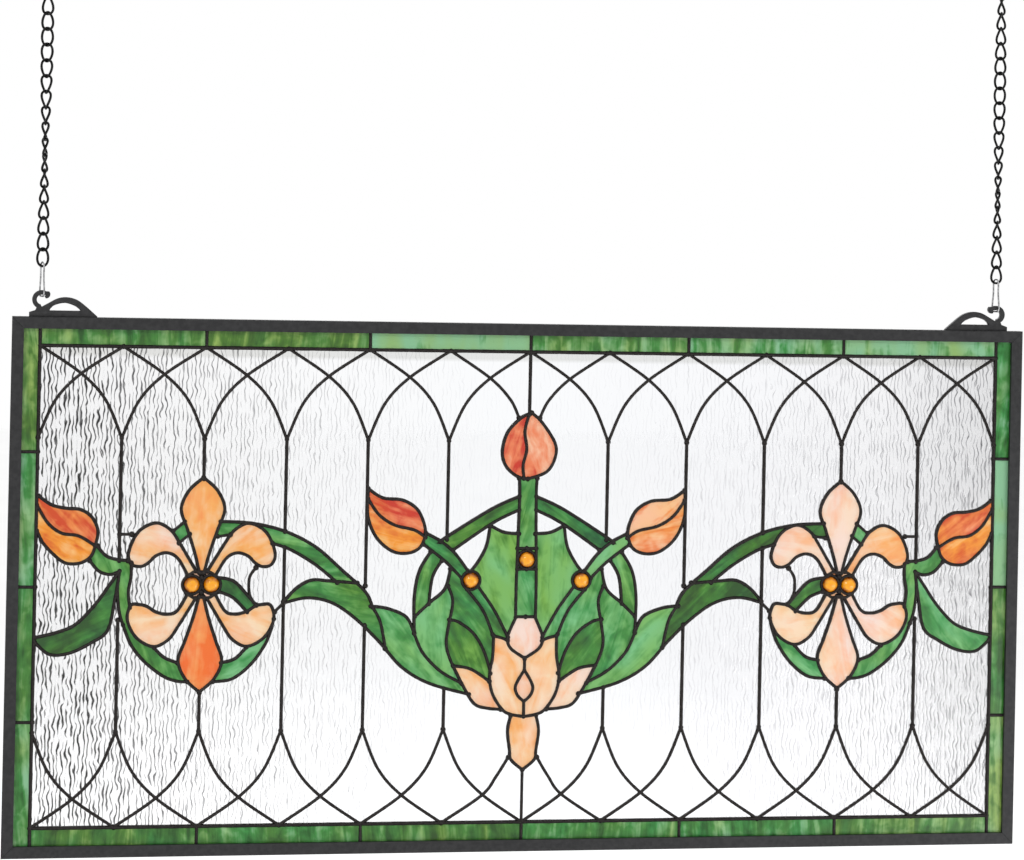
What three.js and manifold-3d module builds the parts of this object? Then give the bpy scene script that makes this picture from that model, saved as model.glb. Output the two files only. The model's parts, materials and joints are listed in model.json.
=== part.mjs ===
// A hanging stained glass window: metal channel frame, leaded glass and two chains.
// Millimetres, +Z up, +X to the viewer's right, the viewed face towards -Y.
// The leadwork is drawn once, for the left half, in panel coordinates (x from the frame's left
// outer edge, z from its bottom edge), and mirrored about the centre line.
import * as THREE from "three";
import { mergeVertices } from "three/addons/utils/BufferGeometryUtils.js";
import Module from "manifold-3d";

const wasm = await Module();
wasm.setup();

// Driving dimensions
const WIDTH = 915; // frame, outside
const HEIGHT = 470;
const MIDDLE = WIDTH / 2;
const RAIL_FACE = 10.3;
const RAIL_DEPTH = 12;
const GROOVE = { depth: 5.5, width: 3.8 };
const GLASS = 3; // sheet thickness
const SETTING = 5.5; // frame's outer edge to the glass edge inside the groove
const LEAD = { border: 3.6, wide: 3.3, fine: 2.9, height: 1.5 };
const KERF = 2.2; // gap between neighbouring sheets, under the leads
const CHORD = { line: 2.4, lead: 1.5, sheet: 2.4 }; // how far a facet may leave its curve
const BORDER = 24.2; // frame's outer edge to the inner border lead
const BAYS = 12;
const BAY = (WIDTH - 2 * BORDER) / BAYS;
const ARCH = { spring: 105, cross: 49, rise: 80 }; // heights from the near rail's outer edge
const JEWEL = { radius: 6.9, dome: 4, collar: 9 };
const FLOWER = { x: 168.5, z: 237, tip: 94, petal: 19 };
const HEAD_Z = 259.5; // jewel on the middle stem
const SIDE_JEWEL = { x: 407.5, z: 241 };
const BRACKET = { from: 14.2, to: 73, thick: 5, arch: 17.2, bar: 4 };
const HOOK = { x: 24.8, z: 14.8, radius: 6.2 };
const CLIP = { wire: 0.8, width: 8.6, bottom: 17.6, top: 47.3, turn: 25 };
const LINK = { count: 20, pitch: 13.7, wire: 0.95, width: 11.5, twist: 1.7, turn: 14 };
const RING = { radius: 10, wire: 1.3 };
const CHAIN_X = 24.9; // chain line from the frame's outer side

// Finishes
const finish = (color, roughness, metalness, extra = {}) =>
  new THREE.MeshStandardMaterial({ color, roughness, metalness, ...extra });
const PAINTED = finish(0x2b2c2e, 0.5, 0.6);
const BLACK_WIRE = finish(0x151515, 0.35, 0.8);
const BRIGHT_WIRE = finish(0x8a8a8c, 0.3, 0.9);
const SOLDER = finish(0x2a2422, 0.45, 0.7);
const CLEAR = finish(0xf4f7f8, 0.1, 0, { transparent: true, opacity: 0.35 });
const GREEN = finish(0x5fa468, 0.25, 0);
const BORDER_GREEN = finish(0x74ab70, 0.25, 0);
const PEACH = finish(0xeec19a, 0.25, 0);
const BUD_RED = finish(0xe0683c, 0.25, 0);
const AMBER = finish(0xe88f10, 0.1, 0);

const panel = new THREE.Group();

// ---- solids -------------------------------------------------------------------------------------
function toSolid(geometry) {
  const plain = geometry.clone();
  plain.deleteAttribute("normal");
  plain.deleteAttribute("uv");
  const merged = mergeVertices(plain, 1e-4);
  return new wasm.Manifold(
    new wasm.Mesh({
      numProp: 3,
      vertProperties: merged.attributes.position.array,
      triVerts: new Uint32Array(merged.index.array),
    }),
  );
}

function toGeometry(solid) {
  const mesh = solid.getMesh();
  const geometry = new THREE.BufferGeometry();
  geometry.setAttribute("position", new THREE.BufferAttribute(mesh.vertProperties, 3));
  geometry.setIndex(new THREE.BufferAttribute(mesh.triVerts, 1));
  const faceted = geometry.toNonIndexed();
  faceted.computeVertexNormals();
  return faceted;
}

function addMesh(name, geometry, material) {
  const mesh = new THREE.Mesh(geometry, material);
  mesh.name = name;
  panel.add(mesh);
}

const addSolid = (name, solid, material) => addMesh(name, toGeometry(solid), material);

// Joins solids in pairs, so that each join stays small.
function joinAll(solids) {
  let list = solids;
  while (list.length > 1) {
    const pairs = [];
    for (let i = 0; i < list.length; i += 2) {
      pairs.push(i + 1 < list.length ? list[i].add(list[i + 1]) : list[i]);
    }
    list = pairs;
  }
  return list[0];
}

// A plate with its outline in panel coordinates, between two depths, with holes cut through it.
function plate(outline, front, back, holes = []) {
  const slab = (loop, from, to) => {
    const shape = new THREE.Shape(THREE.ShapeUtils.isClockWise(loop) ? loop.slice().reverse() : loop);
    const geometry = new THREE.ExtrudeGeometry(shape, { depth: to - from, bevelEnabled: false });
    return toSolid(geometry.rotateX(Math.PI / 2).translate(0, to, 0));
  };
  const whole = slab(outline, front, back);
  if (!holes.length) return whole;
  return whole.subtract(joinAll(holes.map((hole) => slab(hole, front - 1, back + 1))));
}

const at = (x, z) => new THREE.Vector2(x, z);

// The edges of a flat solid's front face, as closed loops: the outline first, then the holes.
function frontLoops(solid) {
  const { vertProperties: vertex, triVerts } = solid.getMesh();
  const front = solid.boundingBox().min[1] + 1e-3;
  const edges = new Map();
  for (let i = 0; i < triVerts.length; i += 3) {
    const corners = [...triVerts.subarray(i, i + 3)];
    if (corners.some((c) => vertex[3 * c + 1] > front)) continue;
    corners.forEach((c, k) => {
      const d = corners[(k + 1) % 3];
      edges.set(`${c} ${d}`, [c, d]);
    });
  }
  const next = new Map();
  for (const [from, to] of edges.values()) {
    if (!edges.has(`${to} ${from}`)) next.set(from, to);
  }
  const loops = [];
  while (next.size) {
    const loop = [];
    let corner = next.keys().next().value;
    while (next.has(corner)) {
      loop.push(at(vertex[3 * corner], vertex[3 * corner + 2]));
      const following = next.get(corner);
      next.delete(corner);
      corner = following;
    }
    loops.push(loop);
  }
  const size = (loop) => Math.abs(THREE.ShapeUtils.area(loop));
  return loops.sort((a, b) => size(b) - size(a));
}

// A closed loop with its nearly straight runs thinned.
function thinLoop(loop, tolerance) {
  const away = loop.map((p) => p.distanceTo(loop[0]));
  const far = away.indexOf(Math.max(...away));
  const there = thin(loop.slice(0, far + 1), tolerance);
  const back = thin([...loop.slice(far), loop[0]], tolerance);
  return [...there.slice(0, -1), ...back.slice(0, -1)];
}

const tidyLoops = (solid, tolerance) =>
  frontLoops(solid)
    .map((loop) => thinLoop(loop, tolerance))
    .filter((loop) => loop.length > 2 && Math.abs(THREE.ShapeUtils.area(loop)) > 4);

// ---- lines --------------------------------------------------------------------------------------
// Straight line through points, smooth curve through points, and circular arc.
const straight = (...points) => points.map(([x, z]) => at(x, z));

function smooth(...points) {
  const curve = new THREE.SplineCurve(points.map(([x, z]) => at(x, z)));
  return thin(curve.getPoints(12 * (points.length - 1)), CHORD.line);
}

function arc(cx, cz, radius, from, to, steps) {
  const turn = THREE.MathUtils.degToRad;
  return Array.from({ length: steps + 1 }, (_, i) => {
    const angle = turn(from + ((to - from) * i) / steps);
    return at(cx + radius * Math.cos(angle), cz + radius * Math.sin(angle));
  });
}

// Drops the points of a polyline that lie within a tolerance of the line between their neighbours.
function thin(points, tolerance) {
  const [first, last] = [points[0], points[points.length - 1]];
  const chord = new THREE.Line3(
    new THREE.Vector3(first.x, first.y, 0),
    new THREE.Vector3(last.x, last.y, 0),
  );
  const nearest = new THREE.Vector3();
  let worst = 0;
  let split = 0;
  points.forEach((p, i) => {
    const point = new THREE.Vector3(p.x, p.y, 0);
    chord.closestPointToPoint(point, true, nearest);
    const gap = point.distanceTo(nearest);
    if (gap > worst) {
      worst = gap;
      split = i;
    }
  });
  if (worst <= tolerance) return [first, last];
  const before = thin(points.slice(0, split + 1), tolerance);
  return [...before.slice(0, -1), ...thin(points.slice(split), tolerance)];
}

// Outline of a strip of the given width along a line, with mitred bends and ends run on a little.
function stripOutline(line, width, runOn) {
  const points = line.map((p) => p.clone());
  const last = points.length - 1;
  points[0].add(points[0].clone().sub(points[1]).setLength(runOn));
  points[last].add(points[last].clone().sub(points[last - 1]).setLength(runOn));
  const left = [];
  const right = [];
  points.forEach((p, i) => {
    const before = points[Math.max(i - 1, 0)].clone();
    const after = points[Math.min(i + 1, last)].clone();
    const into = i > 0 ? p.clone().sub(before).normalize() : after.clone().sub(p).normalize();
    const out = i < last ? after.clone().sub(p).normalize() : into.clone();
    const along = into.clone().add(out).normalize();
    const reach = width / 2 / Math.max(along.dot(into), 0.5);
    const across = at(-along.y, along.x).multiplyScalar(reach);
    left.push(p.clone().add(across));
    right.push(p.clone().sub(across));
  });
  return [...right, ...left.reverse()];
}

// ---- the leadwork -------------------------------------------------------------------------------
// Each line: its points, whether glass of different kinds meets there, and its width.
const mirrored = (line) => line.map((p) => at(WIDTH - p.x, p.y)).reverse();
const lines = [];
const once = (points, parts = false, width = LEAD.wide) => lines.push({ points, parts, width });
function both(points, parts = false, width = LEAD.wide) {
  once(points, parts, width);
  once(mirrored(points), parts, width);
}

// Border: a lead all round, and the joints between its strips.
const inner = { left: BORDER, right: WIDTH - BORDER, low: BORDER + 1.3, high: HEIGHT - BORDER - 0.8 };
both(straight([inner.left, SETTING], [inner.left, HEIGHT - SETTING]), false, LEAD.border);
once(straight([inner.left, inner.low], [inner.right, inner.low]), true, LEAD.border);
once(straight([inner.left, inner.high], [inner.right, inner.high]), true, LEAD.border);
both(straight([inner.left, inner.low], [inner.left, inner.high]), true, LEAD.border);
for (const quarter of [1, 2, 3]) {
  const z = (HEIGHT * quarter) / 4;
  both(straight([SETTING, z], [inner.left, z]));
}
for (let bay = 2; bay <= BAYS - 2; bay += 2) {
  const x = BORDER + BAY * bay;
  once(straight([x, SETTING], [x, inner.low]));
  once(straight([x, inner.high], [x, HEIGHT - SETTING]));
}

// Lattice of pointed arches, above and mirrored below.
function archPoints(fromX, towards, springZ, endZ) {
  const up = Math.sign(endZ - springZ);
  const reach = Math.abs(endZ - springZ);
  return smooth(
    [fromX, springZ],
    [fromX + towards * BAY * 0.2, springZ + up * reach * 0.41],
    [fromX + towards * BAY * 0.5, springZ + up * reach * 0.7],
    [fromX + towards * BAY, endZ],
  );
}
const springHigh = HEIGHT - ARCH.spring;
for (let k = 0; k <= BAYS; k += 1) {
  const x = BORDER + BAY * k;
  if (k === BAYS / 2) continue;
  if (k < BAYS) once(archPoints(x, 1, springHigh, inner.high), false, LEAD.fine);
  if (k > 0) once(archPoints(x, -1, springHigh, inner.high), false, LEAD.fine);
  if (k < BAYS) once(archPoints(x, 1, ARCH.spring + 3.5, inner.low), false, LEAD.fine);
  if (k > 0) once(archPoints(x, -1, ARCH.spring + 3.5, inner.low), false, LEAD.fine);
}
// Beside the centre the arches end on the middle bud and on the tulip's tail.
const besideCentre = BORDER + BAY * (BAYS / 2 - 1);
const halfBayOn = besideCentre + BAY / 2;
const bendToBud = smooth([besideCentre, inner.high], [halfBayOn, 421], [440, 402], [448, 386]);
const bendToTail = smooth([besideCentre, inner.low], [halfBayOn, 49.5], [434, 66], [445.5, 83]);
both(bendToBud, false, LEAD.fine);
both(bendToTail, false, LEAD.fine);
once(straight([MIDDLE, inner.high], [MIDDLE, 389]));
once(straight([MIDDLE, 72], [MIDDLE, inner.low]), false, LEAD.fine);

// Uprights, from the arches to the ornament.
const upright = (k, high, low) =>
  both(straight([BORDER + BAY * k, high], [BORDER + BAY * k, low]));
const [top, foot] = [springHigh, ARCH.spring + 3.5];
upright(1, top, 258);
upright(1, 206, foot);
upright(2, top, 330);
upright(2, 142, foot);
upright(3, top, 284);
upright(3, 270, 221);
upright(3, 221, foot);
upright(4, top, 236);
upright(4, 201, foot);
upright(5, top, 277);
upright(5, 145, foot);

// Side bud, its stem and the leaf under it.
both(smooth([26, 314], [37, 306.5], [50, 303.5], [62, 302.5], [72, 296], [77.5, 284],
  [75.5, 271]), true);
both(smooth([25, 284], [30, 274], [39, 264], [50, 256], [63, 256], [72, 262], [75.5, 271]), true);
both(smooth([26, 304], [34, 291], [46, 282], [61, 279.5], [75.5, 271]));
both(smooth([77, 271], [84, 263], [92, 259.5], [104, 258]), true);
both(smooth([71, 258], [79, 249], [89, 246], [97, 249]), true);
both(smooth([97, 249], [88, 236], [76, 219], [60, 202.5], [44, 195.5], [25, 191]), true);
both(smooth([97, 249], [93, 222], [87.5, 197], [73, 186], [55, 177.5], [38, 176.5], [25, 187]), true);
both(straight([BORDER + BAY, 281], [107, 281]), false, LEAD.fine);

// Ring round the flower.
both(smooth([97, 249], [95.5, 232], [97.5, 213], [101, 202]), true);
both(smooth([107, 256], [107, 244], [105, 231], [106.5, 217]), true);
both(smooth([101, 202], [108, 185], [120, 170], [136, 157.5], [148, 152.8], [158, 152]), true);
both(smooth([128, 182], [137, 173.5], [149, 168.5]), true);
both(smooth([180, 152], [197, 154.5], [213, 167], [225, 184], [230.5, 198],
  [232.5, 207]), true);
both(smooth([187, 168.5], [199, 172], [209, 182]), true);
both(smooth([143, 284], [153, 292.5]), true, LEAD.fine);
both(smooth([148, 273.5], [157.5, 281.5]), true, LEAD.fine);
both(smooth([182, 279.5], [193, 281]), true, LEAD.fine);

// Flower: an upright petal and two side petals, each mirrored about the flower's two axes.
function flowerLine(mirrorX, mirrorZ, ...points) {
  const place = ([x, z]) => [FLOWER.x + mirrorX * x, FLOWER.z + mirrorZ * z];
  return smooth(...points.map(place));
}
const { tip, petal } = FLOWER;
for (const z of [1, -1]) {
  for (const x of [1, -1]) {
    const low = z < 0 ? 0.92 : 1;
    both(flowerLine(x, z, [0, tip], [petal * 0.65, tip * 0.88], [petal, tip * 0.71],
      [petal * 0.72, tip * 0.53], [petal * 0.5, tip * 0.4]), true);
    both(flowerLine(x, z, [petal * 0.5, tip * 0.4], [petal * 0.3, tip * 0.27], [petal * 0.1, tip * 0.11]));
    both(flowerLine(x, z, [5, 12], [12.5, 24.5], [19.5, 36]));
    both(flowerLine(x, z, [12.5, 7.5], [6, 11.5], [0, 10.5]));
    both(flowerLine(x, z, [19.5, 36], [28, 48], [41, 54], [56, 46], [64, 28 / low], [61, 18],
      [53.5, 16 / low], [47, 19], [40, 25.5 * low], [30.5, 28 * low], [21, 23], [11.5, 7]), true);
  }
}
// Stem of the scroll, over the petal, and the scroll's leaf.
both(smooth([184, 292.5], [212, 291], [241, 284], [268, 270.5], [292, 250], [313, 231],
  [320, 217]), true);
both(smooth([230, 273.5], [246, 268], [268, 255], [288, 239]), true);
both(smooth([241, 222], [252, 234], [265, 241], [280, 240.5], [306, 238.5]), true);
both(smooth([241, 221], [262, 225.5], [284, 221], [305, 207], [326, 187], [347, 164], [372, 149.5],
  [408, 139.5]), true);
both(straight([233, 213], [241, 221]), false, LEAD.fine);
// Curl inside the flower.
both(smooth([181, 243.5], [196, 240.5], [208, 229], [216.5, 219]), true);
both(smooth([184, 231], [195, 226.5], [203, 219.5], [209, 213]), true);
both(smooth([216, 252], [210.5, 243], [211, 228], [217, 219]), false, LEAD.fine);
// Long leaves below the scroll.
both(smooth([318, 218], [333, 216], [350, 208.5], [357.5, 194]), true);
both(smooth([357.5, 194], [364, 179], [374, 167], [385, 158], [400, 150]));
both(smooth([320, 217], [327, 204], [331.5, 183]));

// Bud on the bent stem, the stem, and the jewel's corner.
both(smooth([314, 322], [327, 314], [345, 312], [358, 304], [364.5, 291], [366, 281]), true);
both(smooth([314, 322], [314, 298], [322, 279], [336, 267], [350, 265], [361, 270],
  [366, 281]), true);
both(smooth([314, 313], [324, 299], [338, 290], [356, 285.5], [366, 279]));
both(smooth([366, 283], [381, 275], [393, 264.5], [404.5, 249.5]), true);
both(smooth([364, 273], [371, 268], [385, 257], [399, 243]), true);
// Arms from the middle stem, and the hoops under them.
both(smooth([450, 316], [425, 304.5], [384, 279], [379, 275]), true);
both(smooth([450, 304], [426, 292], [391, 268]), true);
both(smooth([371, 266.5], [361, 249], [357, 226], [357.5, 196]), true);
both(smooth([381, 258.5], [373, 244], [370, 220]), true);
both(smooth([358, 209], [370, 220.5], [384, 233], [389, 251]), true);

// Leaves behind the tulip.
both(smooth([424, 290], [421, 272], [414, 258], [406.5, 248]), true);
both(smooth([424, 290], [436, 284], [450, 282.5]), true);
both(smooth([387, 236], [391.5, 222], [388, 200], [386.5, 184], [391, 169], [401, 149]));
both(smooth([388.5, 206], [397, 204], [411, 193.5], [421, 177], [427, 158]));
both(smooth([413, 237], [428, 216], [438, 198], [442, 190]));
both(smooth([404, 233], [419, 214], [428, 193]));

// Middle stem.
both(smooth([449.5, 332], [450, 318], [449.5, 283]), true);
both(smooth([449.5, 283], [448.5, 240], [448.5, 208]));
both(straight([449, 269.5], [MIDDLE, 269.5]));
both(straight([449, 251], [MIDDLE, 251]));

// Middle bud.
once(smooth([459.5, 390.5], [469, 382], [481, 364], [481.5, 351], [474, 338], [457, 331.5]), true);
once(smooth([459.5, 390.5], [450, 386], [438, 373], [433.5, 356], [437, 343], [447, 334],
  [457, 331.5]), true);
once(smooth([457, 389], [453.5, 374], [455.5, 358], [452.5, 344], [453.5, 332]));

// Tulip.
both(straight([449, 208.5], [MIDDLE, 208.5]), true);
both(smooth([449, 208.5], [443, 195], [441.5, 188], [445, 180], [MIDDLE, 171.5]), true);
both(smooth([442, 187], [437, 189.5], [429, 191.5]), true);
both(smooth([429, 191.5], [428.5, 173], [426, 156], [429, 140], [438, 126], [446, 121.5],
  [MIDDLE, 119.5]), true);
both(smooth([393, 165], [409, 162], [426, 151]), true);
both(smooth([393, 165], [403, 146], [413, 131], [425, 127], [437, 126]), true);
once(straight([MIDDLE, 171], [MIDDLE, 161]));
both(smooth([MIDDLE, 161], [452, 152], [449.5, 145], [452, 138], [MIDDLE, 133]));
once(straight([MIDDLE, 133], [MIDDLE, 119.5]));
both(smooth([446, 120], [443.5, 107], [445.5, 90], [447, 81], [MIDDLE, 72]), true);

// ---- glass and leads ------------------------------------------------------------------------------
const jewels = [
  [FLOWER.x - 8.6, FLOWER.z],
  [FLOWER.x + 8.6, FLOWER.z + 0.5],
  [SIDE_JEWEL.x, SIDE_JEWEL.z],
  [MIDDLE, HEAD_Z],
  [WIDTH - SIDE_JEWEL.x, SIDE_JEWEL.z],
  [WIDTH - FLOWER.x - 8.6, FLOWER.z + 0.5],
  [WIDTH - FLOWER.x + 8.6, FLOWER.z],
];
const disc = ([x, z], radius, front, back, sides = 12) =>
  plate(arc(x, z, radius, 0, 360, sides).slice(0, -1), front, back);

const sheetFace = -GLASS / 2;
const sheetBack = GLASS / 2;
const strip = (line, width, runOn, front, back) =>
  plate(stripOutline(line, width, runOn), front, back);
const seats = joinAll(jewels.map((centre) => disc(centre, JEWEL.radius + 0.5, -9, 9)));

const leadFront = sheetFace - LEAD.height;
const network = lines.map(({ points, width }) => strip(points, width, 1, leadFront, sheetFace));
const collars = jewels.map((centre) => disc(centre, JEWEL.collar, leadFront, sheetFace));
const rectangle = (edge, front, back) =>
  plate(
    straight([edge, edge], [WIDTH - edge, edge], [WIDTH - edge, HEIGHT - edge], [edge, HEIGHT - edge]),
    front,
    back,
  );
const opening = rectangle(RAIL_FACE + 0.4, -9, 9);
const joined = joinAll([...network, ...collars]).intersect(opening);
const [leadEdge, ...leadHoles] = tidyLoops(joined, CHORD.lead);
addSolid("leadwork", plate(leadEdge, leadFront, sheetFace, leadHoles).subtract(seats), SOLDER);

// The sheet is cut apart where glass of different kinds meets, and round the jewels.
const sheet = rectangle(SETTING, sheetFace, sheetBack);
const cuts = joinAll(
  lines.filter((line) => line.parts).map(({ points }) => strip(points, KERF, 3, -5, 5)),
);
const bosses = joinAll(jewels.map((centre) => disc(centre, JEWEL.radius + 1.2, -9, 9)));
const cells = sheet.subtract(cuts).subtract(bosses).decompose();

function inside(point, loop) {
  let odd = false;
  loop.forEach((a, i) => {
    const b = loop[(i + 1) % loop.length];
    const spans = a.y > point.y !== b.y > point.y;
    if (spans && point.x < a.x + ((point.y - a.y) / (b.y - a.y)) * (b.x - a.x)) odd = !odd;
  });
  return odd;
}

// The cell that holds a point, and cells of one kind joined by a tab under the lead between them.
function cellAt([x, z]) {
  const found = cells.find((cell) => {
    const [edge, ...holes] = frontLoops(cell);
    return inside(at(x, z), edge) && !holes.some((hole) => inside(at(x, z), hole));
  });
  if (!found) throw new Error(`no glass at ${x}, ${z}`);
  return found;
}

function addGlass(name, points, material, tabs = []) {
  const tabSolids = tabs.map(([from, to, width]) =>
    strip(straight(from, to), width, 0, sheetFace, sheetBack),
  );
  const solid = joinAll([...new Set(points.map(cellAt)), ...tabSolids]);
  const [edge, ...holes] = tidyLoops(solid, CHORD.sheet);
  addSolid(name, plate(edge, sheetFace, sheetBack, holes).subtract(seats), material);
}

// The same piece on the left and on the right.
const acrossPoint = ([x, z]) => [WIDTH - x, z];
function addPair(name, points, material, tabs = []) {
  addGlass(`${name}_left`, points, material, tabs);
  const mirroredTabs = tabs.map(([from, to, width]) => [acrossPoint(from), acrossPoint(to), width]);
  addGlass(`${name}_right`, points.map(acrossPoint), material, mirroredTabs);
}

addGlass("border_glass", [[MIDDLE + 20, 15]], BORDER_GREEN);
addGlass("clear_glass_upper", [[130, 380]], CLEAR);
addGlass("clear_glass_lower", [[130, 100]], CLEAR);
addPair("clear_glass_side", [[45, 230]], CLEAR);
addPair("clear_glass_ring", [[130, 235]], CLEAR);
addPair("clear_glass_hoop", [[375, 240]], CLEAR);
addPair("clear_glass_arm", [[405, 270]], CLEAR);
addPair("clear_glass_stem", [[442, 293]], CLEAR);
addPair("side_bud", [[50, 290]], BUD_RED);
addPair("inner_bud", [[340, 300]], BUD_RED);
addGlass("middle_bud", [[445, 360]], BUD_RED);
addPair("flower", [[FLOWER.x, FLOWER.z + 60]], PEACH);
addGlass("tulip_top", [[MIDDLE, 195]], PEACH);
addGlass("tulip_body", [[435, 160]], PEACH);
addPair("tulip_outer_petal", [[412, 145]], PEACH);
addGlass("tulip_tail", [[MIDDLE, 100]], PEACH);
addPair("side_leaf", [[75, 210]], GREEN);
addPair("ring", [[101, 235]], GREEN);
addPair("ring_foot", [[210, 167]], GREEN);
addPair("ring_corner", [[150, 283]], GREEN);
addPair("scroll_end", [[187, 286]], GREEN);
addPair("curl", [[198, 234]], GREEN);
addPair("hoop", [[362, 230], [385, 265], [420, 297]], GREEN, [
  [[373, 268], [379, 259], 3],
  [[379, 272], [389, 279], 3],
]);
addGlass("foliage", [[MIDDLE, 320], [380, 200], [275, 260], [WIDTH - 275, 260]], GREEN, [
  [[296, 246], [292, 233], 4],
  [[WIDTH - 296, 246], [WIDTH - 292, 233], 4],
]);

// ---- jewels ---------------------------------------------------------------------------------------
jewels.forEach(([x, z], i) => {
  const { radius, dome } = JEWEL;
  const profile = [
    at(0, leadFront - dome),
    at(radius * 0.72, leadFront - dome * 0.68),
    at(radius, leadFront),
    at(radius, sheetBack),
    at(0, sheetBack),
  ];
  const jewel = new THREE.LatheGeometry(profile, 10);
  addMesh(`jewel_${i + 1}`, jewel.translate(x, 0, z), AMBER);
});

// ---- frame ----------------------------------------------------------------------------------------
// A rail is a bar with a groove for the glass, its ends mitred; drawn as the lower rail, then turned.
function rail(length) {
  const half = RAIL_DEPTH / 2;
  const lip = GROOVE.width / 2;
  const round = 0.8;
  const section = [
    at(-half + round, 0),
    at(half - round, 0),
    at(half, round),
    at(half, RAIL_FACE),
    at(lip, RAIL_FACE),
    at(lip, RAIL_FACE - GROOVE.depth),
    at(-lip, RAIL_FACE - GROOVE.depth),
    at(-lip, RAIL_FACE),
    at(-half, RAIL_FACE),
    at(-half, round),
  ];
  const shape = new THREE.Shape(section);
  const bar = new THREE.ExtrudeGeometry(shape, { depth: length, bevelEnabled: false });
  bar.translate(0, 0, -length / 2);
  const position = bar.attributes.position;
  for (let i = 0; i < position.count; i += 1) {
    const [y, z, x] = [position.getX(i), position.getY(i), position.getZ(i)];
    position.setXYZ(i, x - Math.sign(x) * (z + 0.15), y, z);
  }
  return bar;
}
const railLow = rail(WIDTH).translate(MIDDLE, 0, 0);
const railHigh = rail(WIDTH).rotateY(Math.PI).translate(MIDDLE, 0, HEIGHT);
const railLeft = rail(HEIGHT).rotateY(Math.PI / 2).translate(0, 0, HEIGHT / 2);
const railRight = rail(HEIGHT).rotateY(-Math.PI / 2).translate(WIDTH, 0, HEIGHT / 2);
addMesh("frame_rail_bottom", railLow, PAINTED);
addMesh("frame_rail_top", railHigh, PAINTED);
addMesh("frame_rail_left", railLeft, PAINTED);
addMesh("frame_rail_right", railRight, PAINTED);

// ---- hangers --------------------------------------------------------------------------------------
const { from, to, thick, arch, bar } = BRACKET;
const above = (x, z) => [x, HEIGHT + z];

// A plate on the rail: an arch with a D-shaped opening, and a curled hook at its outer end.
function bracketOutline() {
  const outer = HOOK.radius + bar / 2;
  const within = HOOK.radius - bar / 2;
  const hookZ = HEIGHT + HOOK.z;
  return [
    at(from, HEIGHT),
    at(from, HEIGHT + 3.8),
    at(19.5, HEIGHT + 5.6),
    ...arc(HOOK.x, hookZ, outer, 238, 62, 7),
    ...arc(28.6, hookZ + 4.6, 3.6, 45, -95, 4),
    at(27.4, HEIGHT + 17.2),
    at(27.9, HEIGHT + 18.8),
    ...arc(HOOK.x, hookZ, within, 70, 258, 6),
    ...smooth(above(25, 8.6), above(31, 12), above(38.5, 16), above(46, arch), above(54, 15.6),
      above(61, 11.2), above(to, 0.8)),
    at(to, HEIGHT),
  ];
}
const bracketHole = smooth(above(31.7, 5.5), above(35, 9.6), above(45, 12.1), above(54.5, 9),
  above(58.2, 5.5));
const ringCentreZ = HEIGHT + CLIP.top - 4.9 + LINK.count * LINK.pitch + RING.radius;

// A wire bent along a closed path of points, with few sides.
function closedWire(path, wire, sides) {
  const count = path.length;
  const vertices = [];
  const faces = [];
  path.forEach((p, i) => {
    const along = path[(i + 1) % count].clone().sub(path[(i + count - 1) % count]).normalize();
    const centre = path.reduce((sum, q) => sum.add(q), new THREE.Vector3()).divideScalar(count);
    const out = p.clone().sub(centre);
    out.addScaledVector(along, -out.dot(along)).normalize();
    const side = new THREE.Vector3().crossVectors(along, out);
    for (let k = 0; k < sides; k += 1) {
      const angle = (2 * Math.PI * k) / sides;
      const v = p.clone().addScaledVector(out, wire * Math.cos(angle));
      v.addScaledVector(side, wire * Math.sin(angle));
      vertices.push(v.x, v.y, v.z);
      const [here, onward] = [i * sides, ((i + 1) % count) * sides];
      const around = (k + 1) % sides;
      faces.push(here + k, here + around, onward + around, here + k, onward + around, onward + k);
    }
  });
  const geometry = new THREE.BufferGeometry();
  geometry.setAttribute("position", new THREE.Float32BufferAttribute(vertices, 3));
  geometry.setIndex(faces);
  const solid = toSolid(geometry);
  return solid.volume() > 0 ? geometry : geometry.setIndex(faces.slice().reverse());
}

function turned(p, degrees, x, z) {
  const upwards = new THREE.Vector3(0, 0, 1);
  p.applyAxisAngle(upwards, THREE.MathUtils.degToRad(degrees));
  return p.add(new THREE.Vector3(x, 0, z));
}

// A curb link: an oval twisted so that its neighbours lie in line with it.
function linkPath(index, x) {
  const long = (LINK.pitch + 2 * LINK.wire) / 2 - LINK.wire * 0.75;
  const centreZ = HEIGHT + CLIP.top - 2.6 + LINK.pitch * (index + 0.5);
  return Array.from({ length: 6 }, (_, i) => {
    const angle = (2 * Math.PI * i) / 6 + Math.PI / 6;
    const p = new THREE.Vector3(
      (LINK.width / 2 - LINK.wire) * Math.cos(angle) * 1.06,
      LINK.twist * Math.sin(2 * angle),
      long * Math.sin(angle) * 1.06,
    );
    return turned(p, LINK.turn * index, x, centreZ);
  });
}

function clipPath(x) {
  const middle = HEIGHT + (CLIP.bottom + CLIP.top) / 2;
  const half = (CLIP.top - CLIP.bottom) / 2;
  const w = CLIP.width / 2;
  const rising = [[w * 0.75, -half], [w, -half * 0.72], [w * 0.7, half * 0.3], [w * 0.75, half * 0.8],
    [1.2, half]];
  const falling = rising.map(([y, z]) => [-y, z]).reverse();
  const loop = [...rising, ...falling];
  return loop.map(([y, z]) => turned(new THREE.Vector3(0, y, z), CLIP.turn, x, middle));
}

function ringPath(x) {
  return Array.from({ length: 12 }, (_, i) => {
    const angle = (2 * Math.PI * i) / 12;
    const p = new THREE.Vector3(RING.radius * Math.cos(angle), 0, RING.radius * Math.sin(angle));
    return turned(p, LINK.turn * (LINK.count - 1) + 90, x, ringCentreZ);
  });
}

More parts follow.
